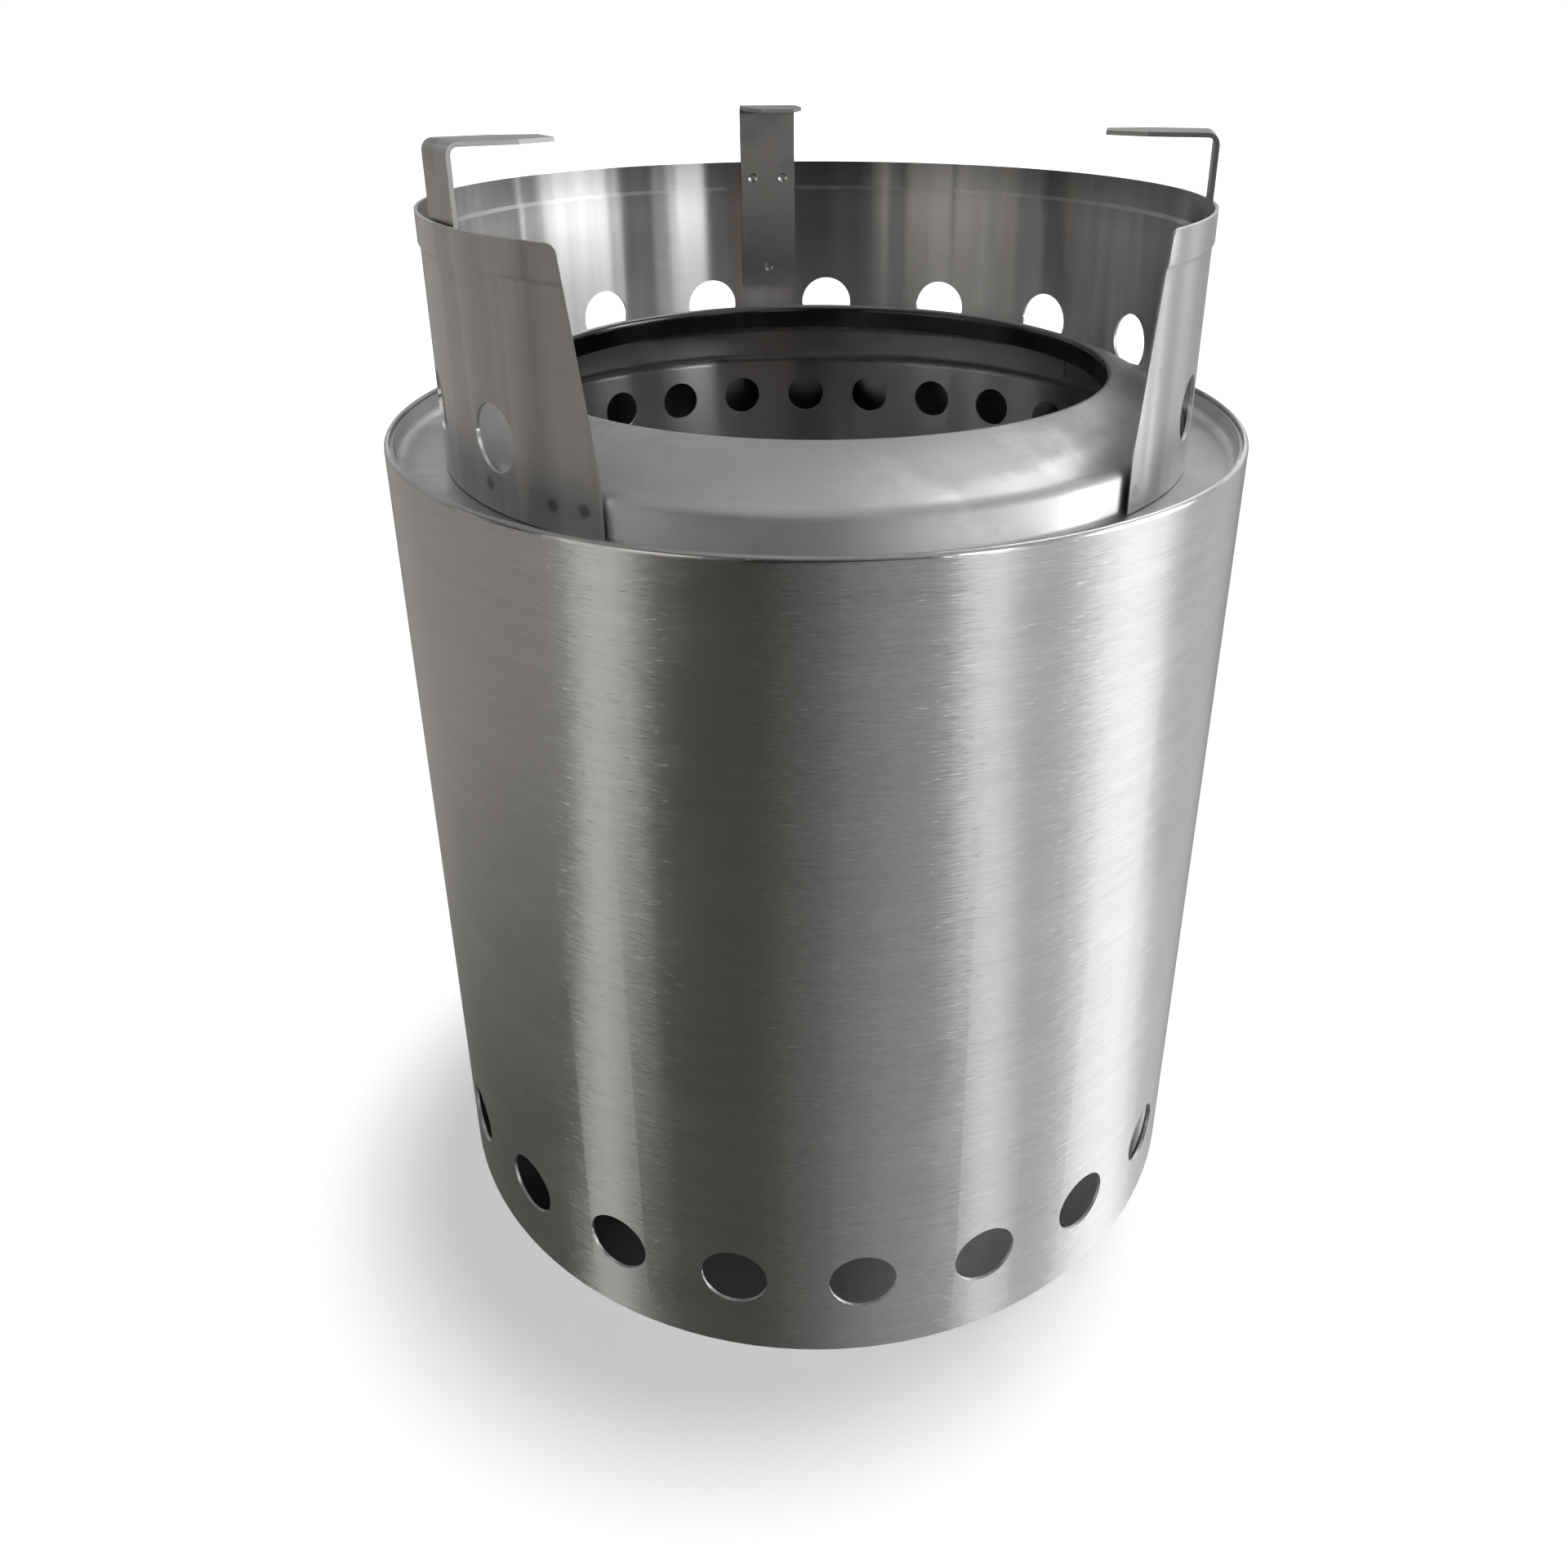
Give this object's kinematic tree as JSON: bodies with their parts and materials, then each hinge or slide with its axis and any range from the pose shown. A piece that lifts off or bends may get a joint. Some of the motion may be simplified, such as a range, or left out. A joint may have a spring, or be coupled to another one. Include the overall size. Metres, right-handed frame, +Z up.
{
  "type": "twig stove",
  "caption": "Double-wall wood-burning camping stove with a round perforated body and a loose pot ring with pot supports and a side feed opening.",
  "frame": {"origin": "centre of the ground face, on the stove's axis", "axes": "+Z up along the stove's axis, -Y through the middle of the feed opening (the front), +X to the right seen from the front"},
  "size_m": [0.108, 0.108, 0.1422],
  "materials": {
    "body_steel": "stainless sheet brushed round the body",
    "shoulder_steel": "satin pressed stainless sheet",
    "ring_steel": "bright rolled stainless sheet",
    "support_steel": "bright stainless strip with sheared edges",
    "band_steel": "satin stainless strip",
    "firebox_steel": "satin stainless sheet",
    "wire_steel": "drawn stainless wire",
    "plate_steel": "plain stainless sheet",
    "weld_steel": "dull resistance weld"
  },
  "bodies": {
    "stove_body": {"outer_wall": "body_steel", "outer_wall_weld": "weld_steel", "base_plate": "plate_steel", "base_spot_welds": "weld_steel", "top_shoulder": "shoulder_steel", "throat_band": "band_steel", "throat_spot_welds": "weld_steel", "inner_wall": "firebox_steel", "inner_wall_weld": "weld_steel", "flange_spot_welds": "weld_steel", "grate_ledge": "firebox_steel", "grate_outer_ring": "wire_steel", "grate_second_ring": "wire_steel", "grate_third_ring": "wire_steel", "grate_inner_ring": "wire_steel", "grate_cross_wires": "wire_steel", "ash_pan": "plate_steel", "ash_pan_hangers": "plate_steel"},
    "pot_ring_unit": {"pot_ring": "ring_steel", "rear_pot_support": "support_steel", "left_pot_support": "support_steel", "right_pot_support": "support_steel", "support_welds": "weld_steel"}
  },
  "joints": [
    {"name": "pot_ring_lift", "type": "slide", "parent": "stove_body", "child": "pot_ring_unit", "axis": [0, 0, 1], "range_m": [0, 0.03]}
  ]
}
